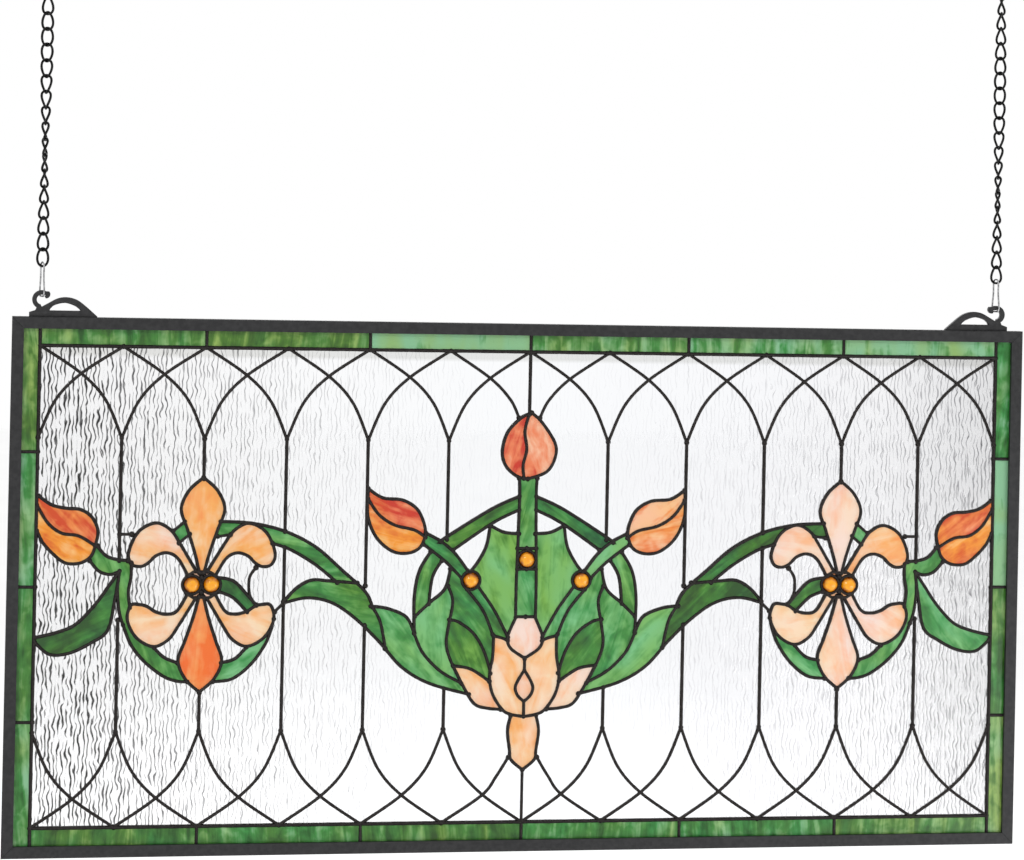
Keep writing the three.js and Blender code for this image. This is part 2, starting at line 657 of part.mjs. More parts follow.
const sides = [
  ["left", CHAIN_X, (loop) => loop],
  ["right", WIDTH - CHAIN_X, mirrored],
];
for (const [side, x, across] of sides) {
  const hole = across(bracketHole);
  const bracket = plate(across(bracketOutline()), -thick / 2, thick / 2, [hole]);
  addSolid(`bracket_${side}`, bracket, PAINTED);
  addMesh(`clip_${side}`, closedWire(clipPath(x), CLIP.wire, 4), BRIGHT_WIRE);
  const link = (_, i) => toSolid(closedWire(linkPath(i, x), LINK.wire, 3));
  const links = Array.from({ length: LINK.count }, link);
  addSolid(`chain_${side}`, joinAll(links), BLACK_WIRE);
  addMesh(`top_ring_${side}`, closedWire(ringPath(x), RING.wire, 5), BLACK_WIRE);
}

// The origin is where the left chain's top ring rests on its hook.
const origin = new THREE.Vector3(CHAIN_X, 0, ringCentreZ + RING.radius - RING.wire);
panel.children.forEach((mesh) => mesh.geometry.translate(-origin.x, -origin.y, -origin.z));

export default panel;
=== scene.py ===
"""A framed stained glass window panel with its leads, glass, jewels, hangers and chains."""
import json
import math

import bpy
from bpy.props import FloatProperty, FloatVectorProperty, IntProperty
from mathutils import Matrix, Vector
from mathutils.geometry import delaunay_2d_cdt


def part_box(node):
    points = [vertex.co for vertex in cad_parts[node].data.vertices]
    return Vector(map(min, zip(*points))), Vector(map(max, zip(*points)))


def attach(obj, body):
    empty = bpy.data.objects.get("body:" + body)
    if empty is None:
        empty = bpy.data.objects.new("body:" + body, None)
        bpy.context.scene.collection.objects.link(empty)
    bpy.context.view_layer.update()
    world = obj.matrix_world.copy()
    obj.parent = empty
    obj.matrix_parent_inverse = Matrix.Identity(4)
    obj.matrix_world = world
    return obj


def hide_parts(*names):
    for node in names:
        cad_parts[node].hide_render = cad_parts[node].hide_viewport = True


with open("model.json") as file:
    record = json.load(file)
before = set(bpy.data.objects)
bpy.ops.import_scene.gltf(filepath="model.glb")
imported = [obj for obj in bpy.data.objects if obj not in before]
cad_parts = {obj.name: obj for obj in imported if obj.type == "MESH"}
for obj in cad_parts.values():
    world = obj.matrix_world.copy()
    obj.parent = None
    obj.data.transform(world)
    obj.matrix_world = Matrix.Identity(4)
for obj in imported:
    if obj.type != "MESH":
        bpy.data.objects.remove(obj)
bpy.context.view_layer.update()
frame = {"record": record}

bl_info = {
    "name": "Stained Glass Panel",
    "version": (1, 0, 0),
    "blender": (4, 5, 0),
    "location": "3D View > Sidebar > Stained Glass",
    "description": "Builds the leads, panes, jewels, hangers and stage of a stained glass panel",
    "category": "Object",
}

# Places: millimetres across and up the panel, from the outer corner of its lower left rail.
WIDTH = 915.0
HEIGHT = 470.0
MIDDLE = WIDTH / 2
BORDER = 24.2  # from the outer edge to the middle of the border's inner lead
BAYS = 12
BAY = (WIDTH - 2 * BORDER) / BAYS
SETTING = 5.5  # from the outer edge to the glass's edge, inside the rails
GLASS = 3.0  # thickness of the glass
SMALLEST_PANE = 14  # square millimetres; less is hidden under the leads
JEWEL_SEAT = 7.3  # radius of the hole that the panes leave for a jewel
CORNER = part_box("frame_rail_bottom")[0]
RING_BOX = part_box("top_ring_left")
RING_CENTRE = ((RING_BOX[0][2] + RING_BOX[1][2]) / 2 - CORNER[2]) * 1000
CHAIN_X = 24.9  # from the outer edge to a chain's middle
CHAINS = (("left", CHAIN_X), ("right", WIDTH - CHAIN_X))
TOP_LINK = 7.7  # from a ring's middle down to its chain's upper end
CLIP_MIDDLE = 32.45  # from the top rail up to a clip's middle
SLOTS = {part["node"]: part["material_slot"] for part in frame["record"]["subparts"]}
GLASS_NODES = {name: bpy.data.objects[name] for name, slot in SLOTS.items()
               if slot.endswith("_glass") and not name.startswith("jewel")}

UPRIGHT = Matrix.Rotation(math.pi / 2, 4, "X")  # stands a flat drawing up

# Sizes in metres that belong to the drawing rather than to the user.
JEWEL_RADIUS = 0.0069
COLLAR_RADIUS = 0.0081  # lead collar round a jewel, to the middle of its bead
COLLAR_BEAD = 0.0015
SOLDER_DAB = (0.0024, 0.0031, 0.0024)
LINK_REACH = (0.0047, 0.0018, 0.0078)  # half width, depth and height of a link's middle line
BRACKET_EDGE = 0.0004
CLIP_WIRE = 0.0008
CLIP_TURN = 25  # degrees
RING_RADIUS = 0.01
RING_WIRE = 0.0013
RING_TURN = -4  # degrees
LINK_TURN = 12.4  # degrees from link to link
FIRST_TURN = 8  # degrees, at the lowest link

# Middles of the left flower and of each jewel.
FLOWER = (168.5, 237)
JEWELS = [
    (159.9, 237.0), (177.1, 237.5), (407.5, 241.0), (MIDDLE, 259.5),
    (WIDTH - 407.5, 241.0), (WIDTH - 177.1, 237.5), (WIDTH - 159.9, 237.0),
]


def place(x, z, y=0.0):
    """A panel place in metres."""
    return Vector((CORNER[0] + x / 1000, y / 1000, CORNER[2] + z / 1000))


def inset(x, z):
    """How far a place lies inside the panel's outer edge."""
    return min(x, WIDTH - x, z, HEIGHT - z)


# ---- sizes and colours to change ----
def length(name, text, default):
    return FloatProperty(name=name, description=text, default=default, min=0.0, precision=4,
                         subtype="DISTANCE", unit="LENGTH")


def colour(name, text, default):
    return FloatVectorProperty(name=name, description=text, default=default, size=3, min=0.0,
                               max=1.0, subtype="COLOR")


class GlassColours(bpy.types.PropertyGroup):
    leaf_pale: colour("Leaf light", "Palest streaks of the leaves", (0.18, 0.5, 0.21))
    leaf_deep: colour("Leaf shade", "Deepest streaks of the leaves", (0.004, 0.09, 0.02))
    border_pale: colour("Border light", "Palest streaks of the border", (0.23, 0.5, 0.28))
    petal_pale: colour("Petal light", "Palest streaks of the petals", (0.87, 0.68, 0.6))
    petal_deep: colour("Petal shade", "Deepest streaks of the petals", (0.82, 0.11, 0.02))
    bud_pale: colour("Bud light", "Palest streaks of the buds", (0.88, 0.5, 0.32))
    bud_deep: colour("Bud shade", "Deepest streaks of the buds", (0.58, 0.03, 0.01))
    jewel: colour("Jewel", "Colour of the domed jewels", (0.9, 0.38, 0.0))


class PanelSizes(bpy.types.PropertyGroup):
    bead_width: length("Bead width", "Width of the widest leads", 0.0034)
    bead_depth: length("Bead depth", "Depth of a lead through the panel", 0.006)
    jewel_dome: length("Jewel dome", "Height of a jewel above the leads' glass face", 0.0055)
    link_wire: length("Link wire", "Radius of the chain's wire", 0.00112)
    link_pitch: length("Link pitch", "Distance from link to link", 0.0137)
    link_count: IntProperty(name="Links", description="Links in each chain", default=20, min=1)
    bracket_thick: length("Bracket thickness", "Thickness of the scrolled brackets", 0.005)


# ---- shared ways of working ----
def deselect():
    if bpy.context.object and bpy.context.object.mode != "OBJECT":
        bpy.ops.object.mode_set(mode="OBJECT")
    bpy.ops.object.select_all(action="DESELECT")


def pick(*pieces):
    deselect()
    for piece in pieces:
        piece.select_set(True)
    bpy.context.view_layer.objects.active = pieces[0]


def settle(piece, name, finish, angle=35):
    """Applies a piece's place, names it, gives it its finish, and hangs it."""
    pick(piece)
    bpy.ops.object.transform_apply(location=True, rotation=True, scale=True)
    if angle:
        bpy.ops.object.shade_smooth_by_angle(angle=math.radians(angle))
    piece.name = piece.data.name = name
    piece.data.materials.clear()
    piece.data.materials.append(finish)
    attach(piece, "root")


def join(pieces):
    pick(*pieces)
    if len(pieces) > 1:
        bpy.ops.object.join()
    return bpy.context.view_layer.objects.active


def add_object(name, data):
    piece = bpy.data.objects.new(name, data)
    bpy.context.scene.collection.objects.link(piece)
    return piece


def add_spline(data, points, closed, widths=None):
    """Adds a run of straight steps to a curve, with a width at each point."""
    spline = data.splines.new("POLY")
    spline.points.add(len(points) - 1)
    spline.use_cyclic_u = closed
    for point, at, width in zip(spline.points, points, widths or [1] * len(points)):
        point.co = (*at, 1)
        point.radius = width


def new_curve(name, dimensions):
    data = bpy.data.curves.new(name, "CURVE")
    data.dimensions = dimensions
    return data


def wobble(t, seed):
    """A slow uneven wave between about -1 and 1."""
    return 0.5 * math.sin(t * 1.3 + seed * 2.1) + 0.3 * math.sin(t * 2.9 + seed) + 0.2 * math.sin(
        t * 6.1 + seed * 3.7)


def chance(seed):
    """An even number from 0 to 1 that depends on its seed alone."""
    return math.modf(abs(math.sin(seed * 12.9898 + 4.137) * 43758.5453))[0]


# ---- the lead lines ----
LINES = []  # points and width of every lead
WIDE, USUAL, FINE = 3.8, 3.6, 3.2  # widths of the leads; beads are scaled from the widest
STEP = 2.6  # length of a curve's steps
RUN_ON = 2.6  # how far a lead runs on past its ends where the glass is cut


def smooth(*points):
    """A flowing curve through points, in short steps."""
    last = len(points) - 1
    line = [points[0]]
    for i in range(last):
        before, start = points[max(i - 1, 0)], points[i]
        end, after = points[i + 1], points[min(i + 2, last)]
        steps = max(2, round(math.dist(start, end) / STEP))
        for k in range(1, steps + 1):
            t = k / steps
            line.append(tuple(
                (2 * a - 2 * b + (b - p) / 2 + (q - a) / 2) * t**3
                + (-3 * a + 3 * b - (b - p) - (q - a) / 2) * t * t + (b - p) / 2 * t + a
                for p, a, b, q in zip(before, start, end, after)))
    return line


def arc(x, z, radius, start, end, steps):
    turns = (math.radians(start + (end - start) * i / steps) for i in range(steps + 1))
    return [(x + radius * math.cos(t), z + radius * math.sin(t)) for t in turns]


def once(points, width=USUAL):
    LINES.append((points, width))


def both(points, width=USUAL):
    """A lead and its mirror image."""
    once(points, width)
    once([(WIDTH - x, z) for x, z in points], width)


def curve(*points, width=USUAL):
    """A flowing lead and its mirror image."""
    both(smooth(*points), width)


def draw_border_and_lattice():
    """The border's leads and joints, the pointed arches and the uprights between them."""
    left, right, low, high = BORDER, WIDTH - BORDER, BORDER + 1.3, HEIGHT - BORDER - 0.8
    both([(left, SETTING), (left, HEIGHT - SETTING)], WIDE)
    once([(left, low), (right, low)], WIDE)
    once([(left, high), (right, high)], WIDE)
    for quarter in (1, 2, 3):
        z = HEIGHT * quarter / 4
        both([(SETTING, z), (left, z)])
    for bay in range(2, BAYS - 1, 2):
        x = BORDER + BAY * bay
        once([(x, SETTING), (x, low)])
        once([(x, high), (x, HEIGHT - SETTING)])

    def arch(x, towards, spring, end):
        rise = end - spring
        once(smooth((x, spring), (x + towards * BAY * 0.2, spring + rise * 0.41),
                    (x + towards * BAY * 0.5, spring + rise * 0.7), (x + towards * BAY, end)), FINE)

    top, foot = HEIGHT - 105, 108.5  # where the arches spring
    for bay in range(BAYS + 1):
        x = BORDER + BAY * bay
        for towards, outermost in ((1, BAYS), (-1, 0)):
            if bay not in (BAYS // 2, outermost):
                arch(x, towards, top, high)
                arch(x, towards, foot, low)
    beside = BORDER + BAY * (BAYS / 2 - 1)
    curve((beside, high), (beside + BAY / 2, 421), (440, 402), (448, 386), width=FINE)
    curve((beside, low), (beside + BAY / 2, 49.5), (434, 66), (444.5, 83), width=FINE)
    once([(MIDDLE, high), (MIDDLE, 389)])
    once([(MIDDLE, 72), (MIDDLE, low)], FINE)
    uprights = ((1, top, 258), (1, 206, foot), (2, top, 330), (2, 142, foot), (3, top, 284),
                (3, 270, 221), (3, 221, foot), (4, top, 236), (4, 201, foot), (5, top, 277),
                (5, 145, foot))
    for bay, start, end in uprights:
        both([(BORDER + BAY * bay, start), (BORDER + BAY * bay, end)])


def draw_flowers():
    """Each flower: an upright petal and two side petals, above and below its jewels."""
    tip, petal = 94, 19

    def line(side, up, *points):
        curve(*((FLOWER[0] + side * x, FLOWER[1] + up * z) for x, z in points))

    for up in (1, -1):
        low = 0.92 if up < 0 else 1
        for side in (1, -1):
            line(side, up, (0, tip), (petal * 0.65, tip * 0.88), (petal, tip * 0.71),
                 (petal * 0.72, tip * 0.53), (petal * 0.5, tip * 0.4), (petal * 0.3, tip * 0.27),
                 (petal * 0.1, tip * 0.11))
            line(side, up, (12.5, 7.5), (6, 11.5), (0, 10.5))
            line(side, up, (5, 12), (12.5, 24.5), (19.5, 36), (28, 48), (41, 54), (56, 46),
                 (64, 28 / low), (61, 18), (53.5, 16 / low), (47, 19), (40, 25.5 * low),
                 (30.5, 28 * low), (21, 23), (11.5, 7))


def draw_side_buds_and_rings():
    """The buds and leaves at the ends, and the rings round the flowers."""
    # Side bud, its stem and the leaf under it.
    curve((26, 314), (37, 306.5), (50, 303.5), (62, 302.5), (72, 296), (77.5, 284), (75.5, 271))
    curve((25, 284), (30, 274), (39, 264), (50, 256), (63, 256), (72, 262), (75.5, 271))
    curve((24.5, 306.5), (34, 291), (46, 282), (61, 279.5), (75.5, 271))
    curve((77, 271), (84, 263), (92, 259.5), (104, 258))
    curve((71, 258), (79, 249), (89, 246), (97, 249))
    curve((97, 249), (88, 236), (76, 219), (60, 202.5), (44, 195.5), (25, 191))
    curve((97, 249), (93, 222), (87.5, 197), (73, 186), (55, 177.5), (38, 176.5), (25, 187))
    both([(BORDER + BAY, 281), (107, 281)], FINE)

    # Ring round the flower.
    curve((97, 249), (95.5, 232), (97.5, 213), (101, 202))
    curve((107, 256), (107, 244), (105, 231), (106.5, 217))
    curve((101, 202), (108, 185), (120, 170), (136, 157.5), (148, 152.8), (158, 152))
    curve((128, 182), (137, 173.5), (149, 168.5))
    curve((180, 152), (197, 154.5), (213, 167), (225, 184), (230.5, 198), (232.5, 207))
    curve((187, 168.5), (199, 172), (209, 182))
    curve((143, 284), (153, 292.5), width=FINE)
    curve((148, 273.5), (157.5, 281.5), width=FINE)
    curve((182, 279.5), (193, 281), width=FINE)


def draw_middle():
    """The scrolls, the buds, the leaves, the stems and the tulip."""
    # Stem of the scroll, over the petal, and the scroll's leaf.
    curve((184, 292.5), (212, 291), (241, 284), (268, 270.5), (292, 250), (313, 231), (320, 217))
    curve((230, 273.5), (246, 268), (268, 255), (288, 239))
    curve((241, 222), (252, 234), (265, 241), (280, 240.5), (306, 238.5))
    curve((241, 221), (262, 225.5), (284, 221), (305, 207), (326, 187), (347, 164),
          (372, 149.5), (408, 139.5))
    both([(233, 213), (241, 221)], FINE)
    # Curl inside the flower.
    curve((181, 243.5), (196, 240.5), (208, 229), (216.5, 219))
    curve((184, 231), (195, 226.5), (203, 219.5), (209, 213))
    curve((216, 252), (210.5, 243), (211, 228), (217, 219), width=FINE)
    # Long leaves below the scroll.
    curve((318, 218), (333, 216), (350, 208.5), (357.5, 194))
    curve((357.5, 194), (364, 179), (374, 167), (385, 158), (400, 150))
    curve((320, 217), (327, 204), (332, 180.5))

    # Bud on the bent stem, the stem, and the jewel's corner.
    curve((314, 322), (327, 314), (345, 312), (358, 304), (364.5, 291), (366, 281))
    curve((314, 322), (314, 298), (322, 279), (336, 267), (350, 265), (361, 270), (366, 281))
    curve((314, 313), (324, 299), (338, 290), (356, 285.5), (366, 279))
    curve((366, 283), (381, 275), (393, 264.5), (404.5, 249.5))
    curve((364, 273), (371, 268), (385, 257), (399, 243))
    # Arms from the middle stem, and the hoops under them.
    curve((450, 316), (425, 304.5), (384, 279), (379, 275))
    curve((450, 304), (426, 292), (391, 268))
    curve((371, 266.5), (361, 249), (357, 226), (357.5, 196))
    curve((381, 258.5), (373, 244), (370, 220))
    curve((358, 209), (370, 220.5), (384, 233), (389, 251))

    # Leaves behind the tulip.
    curve((424, 290), (421, 272), (414, 258), (406.5, 248))
    curve((424, 290), (436, 284), (450, 282.5))
    curve((387, 236), (391.5, 222), (388, 200), (386.5, 184), (391, 169), (401, 149))
    curve((388.5, 206), (397, 204), (411, 193.5), (421, 177), (427, 158))
    curve((413, 237), (428, 216), (438, 198), (442, 190))
    curve((404, 233), (419, 214), (428, 193))

    # Middle stem.
    curve((449.5, 332), (450, 318), (449.5, 283))
    curve((449.5, 283), (448.5, 240), (448.5, 208))
    both([(449, 269.5), (MIDDLE, 269.5)])
    both([(449, 251), (MIDDLE, 251)])

    # Middle bud.
    once(smooth((459.5, 390.5), (469, 382), (481, 364), (481.5, 351), (474, 338), (457, 331.5)))
    once(smooth((459.5, 390.5), (450, 386), (438, 373), (433.5, 356), (437, 343), (447, 334),
                (457, 331.5)))
    once(smooth((457, 389), (453.5, 374), (455.5, 358), (452.5, 344), (453.5, 332)))

    # Tulip.
    both([(449, 208.5), (MIDDLE, 208.5)])
    curve((449, 208.5), (443, 195), (441.5, 188), (445, 180), (MIDDLE, 171.5))
    curve((442, 187), (437, 189.5), (429, 191.5))
    curve((429, 191.5), (428.5, 173), (426, 156), (429, 140), (438, 126), (446, 121.5),
          (MIDDLE, 119.5))
    curve((393, 165), (409, 162), (426, 151))
    curve((393, 165), (403, 146), (413, 131), (425, 127), (437, 126))
    once([(MIDDLE, 171), (MIDDLE, 161)])
    curve((MIDDLE, 161), (452, 152), (449.5, 145), (452, 138), (MIDDLE, 133))
    once([(MIDDLE, 133), (MIDDLE, 119.5)])
    curve((446, 120), (443.5, 107), (445.5, 90), (447, 81), (MIDDLE, 72))


# ---- panes ----
# Panes whose glass was chosen: a place on the pane, how deep its colour runs from palest (0)
# to deepest (1), and how warm it is from bluish (0) to yellowish (1). Both may run below 0.
CHOSEN = [
    (168.5, 310, 0.46, 0.9), (130, 272, 0.14, 0.6), (212, 275, 0.34, 1.0), (130, 203, 0.26, 0.9),
    (212, 203, 0.24, 0.8), (168.5, 168, 0.85, 0.75),
    (746.5, 310, 0.06, 0.2), (703, 272, 0.18, 0.4), (785, 272, 0.48, 0.6), (703, 203, 0.1, 0.7),
    (785, 203, 0.08, 0.3), (746.5, 168, 0.14, 0.4),
    (440, 160, 0.22, 0.8), (475, 160, 0.22, 0.7), (457, 190, 0.06, 0.2), (457, 148, 0.3, 0.4),
    (410, 150, 0.32, 0.6), (505, 150, 0.05, 0.5), (457, 100, 0.32, 0.7),
    (60, 294, 0.8, 0.5), (50, 270, 0.42, 1.0), (855, 294, 0.8, 0.6), (865, 270, 0.6, 0.8),
    (340, 303, 0.85, 0.3), (335, 278, 0.5, 0.8), (575, 303, 0.02, 0.3), (580, 278, 0.3, 0.5),
    (444, 360, 0.7, -0.3), (468, 355, 0.35, -0.3),
    (75, 205, 0.8, 0.7), (840, 205, 0.35, 0.2), (255, 272, 0.5, 0.5), (660, 272, 0.75, 0.8),
    (101, 225, 0.6, 0.8), (198, 234, 1.0, 0.5), (290, 232, 0.45, 0.7), (625, 232, 0.75, 0.9),
    (345, 195, 0.25, 0.4), (570, 195, 0.12, 0.4), (362, 230, 0.4, 0.5), (553, 230, 0.42, 0.7),
    (410, 290, 0.6, 0.8), (505, 290, 0.7, 0.2), (457, 300, 0.22, 0.4), (457, 230, 0.4, 0.3),
    (432, 240, 0.08, 0.7), (483, 240, 0.12, 0.6), (373, 195, 0.1, 0.3), (542, 195, 0.42, 0.3),
    (400, 218, 0.55, 0.5), (515, 218, 0.28, 0.3), (403, 180, 0.45, 0.9), (512, 180, 0.55, 0.8),
    (387, 266, 0.62, 0.1), (528, 266, -0.12, 0.3), (80, 457, 0.55, 0.6), (240, 457, 0.5, 1.0),
    (380, 457, -0.25, 0.2), (560, 457, 0.4, 0.6), (650, 457, 0.25, 0.3), (800, 457, 0.0, 0.3),
    (15, 400, 0.35, 0.8), (15, 300, 0.4, 0.3), (15, 200, 0.65, 0.5), (15, 60, 0.36, 0.4),
    (100, 17, 0.7, 0.6), (230, 17, 0.6, 0.5), (400, 17, 0.65, 0.8), (900, 300, -0.25, 0.1),
    (137, 163, 0.38, 0.6), (200, 163, 0.16, 0.1), (778, 163, 0.4, 0.4), (715, 163, 0.3, 0.2),
    (150, 283, 0.35, 0.2), (765, 283, 0.4, 0.3),
]
# A place in each clear sliver between two petals.
GAPS = [(x + side * 10, FLOWER[1] + up * 27)
        for x in (FLOWER[0], WIDTH - FLOWER[0]) for side in (1, -1) for up in (1, -1)]


def holds(points, shape, x, z):
    """Whether a pane's triangles hold a place."""
    spot = Vector((x, z))
    for face in shape:
        corners = [points[i] for i in face]
        turns = [(corners[k] - corners[k - 1]).cross(spot - corners[k - 1]) for k in range(3)]
        if min(turns) >= 0 or max(turns) <= 0:
            return True
    return False


def leads_as_graph():
    """The middle lines of the leads, run on a little at their ends, with the jewels' seats."""
    points, edges = [], []

    def add(line, closed=False):
        first = len(points)
        points.extend(Vector(p) for p in line)
        edges.extend((i, i + 1) for i in range(first, len(points) - 1))
        if closed:
            edges.append((len(points) - 1, first))

    for line, _ in LINES:
        ends = [Vector(line[0]), Vector(line[-1])]
        ends[0] += (ends[0] - Vector(line[1])).normalized() * RUN_ON
        ends[1] += (ends[1] - Vector(line[-2])).normalized() * RUN_ON
        add([ends[0], *line[1:-1], ends[1]])
    low, right, high = SETTING, WIDTH - SETTING, HEIGHT - SETTING
    add([(low, low), (right, low), (right, high), (low, high)], closed=True)
    for x, z in JEWELS:
        add(arc(x, z, JEWEL_SEAT, 0, 345, 23), closed=True)
    return points, edges


def pane_shapes():
    """Each pane as its triangles: the sheet is cut along the leads and sorted into regions."""
    points, edges = leads_as_graph()
    points, edges, faces, _, sources, _ = delaunay_2d_cdt(points, edges, [], 0, 1e-4)
    leaded = {tuple(sorted(edge)) for edge, source in zip(edges, sources) if source}
    beside = {}
    for i, face in enumerate(faces):
        for k in range(3):
            beside.setdefault(tuple(sorted((face[k], face[k - 1]))), []).append(i)
    free = set(range(len(faces)))
    shapes = []
    while free:
        stack = [free.pop()]
        shape = []
        while stack:
            i = stack.pop()
            shape.append(faces[i])
            for k in range(3):
                edge = tuple(sorted((faces[i][k], faces[i][k - 1])))
                if edge not in leaded:
                    stack.extend(j for j in beside[edge] if j in free)
                    free.difference_update(beside[edge])
        shapes.append(shape)
    return points, shapes


def area(points, face):
    a, b, c = (points[i] for i in face)
    return abs((b - a).cross(c - a)) / 2


def middle_of(points, face):
    return sum((points[i] for i in face), Vector((0, 0))) / 3


def glass_at(spots):
    """The record's slot of the glass that most of the spots fall on."""
    found = {}
    for x, z, weight in spots:
        for name, node in GLASS_NODES.items():
            hit = node.ray_cast(place(x, z, -40), Vector((0, 1, 0)))[0]
            if hit:
                found[SLOTS[name]] = found.get(SLOTS[name], 0) + weight
                break
    return max(found, key=found.get) if found else "clear_glass"


def pane_grain(points, shape, slot, seed):
    """The pane's middle, the way its streaks run, and how deep and how warm its colour is."""
    weights = [area(points, face) for face in shape]
    middles = [middle_of(points, face) for face in shape]
    middle = sum((m * w for m, w in zip(middles, weights)), Vector((0, 0))) / sum(weights)
    spread = [0, 0, 0]
    for m, w in zip(middles, weights):
        away = m - middle
        spread = [spread[0] + w * away.x**2, spread[1] + w * away.y**2,
                  spread[2] + w * away.x * away.y]
    turn = math.atan2(2 * spread[2], spread[0] - spread[1]) / 2
    turn += (chance(seed) - 0.5) * 0.7
    if slot in ("clear_glass", "border_glass"):
        turn = math.pi / 2 + (chance(seed) - 0.5) * 0.3
    tint = (0.25 + 0.5 * chance(seed + 0.5), chance(seed + 0.7))
    for x, z, *chosen in CHOSEN:
        if holds(points, shape, x, z):
            tint = chosen
    return middle, turn, tint


def pane_solid(points, shape, grain, pool):
    """Adds one pane, front, back and edge, to a pool of points, faces, grain and tints."""
    middle, turn, (deep, warm), seed = grain
    corners = sorted({i for face in shape for i in face})
    first = len(pool["points"])
    index = {corner: first + k for k, corner in enumerate(corners)}
    back = len(corners)
    for depth in (-GLASS / 2, GLASS / 2):
        for i in corners:
            pool["points"].append(place(points[i].x, points[i].y, depth))
            along = Matrix.Rotation(-turn, 2) @ (points[i] - middle) / 1000
            pool["grain"].append((along.x + seed * 0.37, along.y + seed * 0.61))
            pool["deep"].append(deep)
            pool["warm"].append(warm)
    sides = {}
    for face in shape:
        a, b, c = (points[i] for i in face)
        if (b - a).cross(c - a) < 0:
            face = face[::-1]
        front = [index[i] for i in face]
        pool["faces"].append(front)
        pool["faces"].append([i + back for i in reversed(front)])
        for k in range(3):
            sides[(face[k - 1], face[k])] = True
    for a, b in sides:
        if (b, a) not in sides:
            pool["faces"].append((index[b], index[a], index[a] + back, index[b] + back))


class GLASS_OT_cut_panes(bpy.types.Operator):
    """Cut every pane between the leads, sort the panes by glass and give each its own streaks"""

    bl_idname = "glass.cut_panes"
    bl_label = "Cut the Panes"

    def execute(self, context):
        points, shapes = pane_shapes()
        pools = {}
        for seed, shape in enumerate(sorted(shapes, key=lambda s: min(min(face) for face in s))):
            weights = sorted(((area(points, face), face) for face in shape), reverse=True)
            spots = [(*middle_of(points, face), weight) for weight, face in weights[:12]]
            x, z, _ = spots[0]
            if (sum(weight for weight, _ in weights) < SMALLEST_PANE or inset(x, z) < SETTING
                    or any(math.dist((x, z), jewel) < JEWEL_SEAT for jewel in JEWELS)):
                continue
            slot = glass_at(spots)
            if any(holds(points, shape, *gap) for gap in GAPS):
                slot = "clear_glass"
            pool = pools.setdefault(
                slot, {"points": [], "faces": [], "grain": [], "deep": [], "warm": []})
            pane_solid(points, shape, (*pane_grain(points, shape, slot, seed), seed), pool)
        finishes = glass_finishes(context.scene.glass_colours)
        for slot, pool in pools.items():
            name = slot.replace("_glass", "_panes")
            mesh = bpy.data.meshes.new(name)
            mesh.from_pydata(pool["points"], [], pool["faces"])
            mesh.update()
            piece = add_object(name, mesh)
            layer = piece.data.uv_layers.new(name="grain")
            layer.data.foreach_set("uv", [
                value for loop in piece.data.loops for value in pool["grain"][loop.vertex_index]])
            for key in ("deep", "warm"):
                tint = piece.data.attributes.new(key, "FLOAT", "POINT")
                tint.data.foreach_set("value", pool[key])
            settle(piece, name, finishes[slot], angle=0)
            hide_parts(*(node for node in GLASS_NODES if SLOTS[node] == slot))
        return {"FINISHED"}


# ---- finishes ----
class Finish:
    """A node material under construction."""

    def __init__(self, name, **values):
        self.material = bpy.data.materials.new(name)
        self.material.use_nodes = True
        self.nodes = self.material.node_tree.nodes
        self.shader = self.nodes["Principled BSDF"]
        for key, value in values.items():
            self.shader.inputs[key.replace("_", " ")].default_value = value

    def add(self, kind, inputs=(), **settings):
        node = self.nodes.new("ShaderNode" + kind)
        for key, value in settings.items():
            setattr(node, key, value)
        for key, value in dict(inputs).items():
            socket = node.inputs[key]
            if isinstance(value, bpy.types.NodeSocket):
                self.material.node_tree.links.new(value, socket)
            else:
                socket.default_value = value
        return node

    def link(self, source, key):
        self.material.node_tree.links.new(source, self.shader.inputs[key])

    def grain(self, along, across):
        """Coordinates stretched along a pane's streaks."""
        place_on = self.add("UVMap", uv_map="grain")
        return self.add("Mapping", {"Vector": place_on.outputs["UV"],
                                    "Scale": (along, across, 1)}).outputs["Vector"]

    def object_place(self, scale=(1, 1, 1)):
        place_on = self.add("TexCoord").outputs["Object"]
        return self.add("Mapping", {"Vector": place_on, "Scale": scale}).outputs["Vector"]

    def noise(self, vector, scale, detail=2.0, rough=0.5, distortion=0.0):
        return self.add("TexNoise", {"Vector": vector, "Scale": scale, "Detail": detail,
                                     "Roughness": rough, "Distortion": distortion}).outputs["Fac"]

    def maths(self, operation, a, b, clamp=False):
        node = self.add("Math", {0: a, 1: b}, operation=operation, use_clamp=clamp)
        return node.outputs[0]

    def above(self, value, zero, gain):
        """How far a value is above its zero, times the gain."""
        return self.maths("MULTIPLY", self.maths("SUBTRACT", value, zero), gain)

    def attribute(self, name):
        return self.add("Attribute", attribute_name=name).outputs["Fac"]

    def mix(self, share, a, b, **settings):
        return self.add("Mix", {0: share, 6: a, 7: b}, data_type="RGBA", **settings).outputs[2]

    def ramp(self, factor, *stops):
        """A colour ramp; each stop is a position and a colour, or one number for a grey."""
        node = self.add("ValToRGB", {"Fac": factor})
        ramp = node.color_ramp
        while len(ramp.elements) < len(stops):
            ramp.elements.new(0.5)
        for element, (position, tint) in zip(ramp.elements, stops):
            element.position = position
            element.color = (*((tint,) * 3 if isinstance(tint, float) else tint), 1)
        return node.outputs["Color"]

    def bump(self, height, strength, distance):
        node = self.add("Bump", {"Height": height, "Strength": strength, "Distance": distance})
        self.link(node.outputs["Normal"], "Normal")

    def speckle(self, scale, detail, low, dark, light):
        """Small speckles of two tints; the nearer low is to a half, the sharper they are."""
        drift = self.noise(self.object_place(), scale, detail)
        self.link(self.ramp(drift, (low, dark), (1 - low, light)), "Base Color")

    def grit(self, scale, detail, strength, distance):
        self.bump(self.noise(self.object_place(), scale, detail), strength, distance)


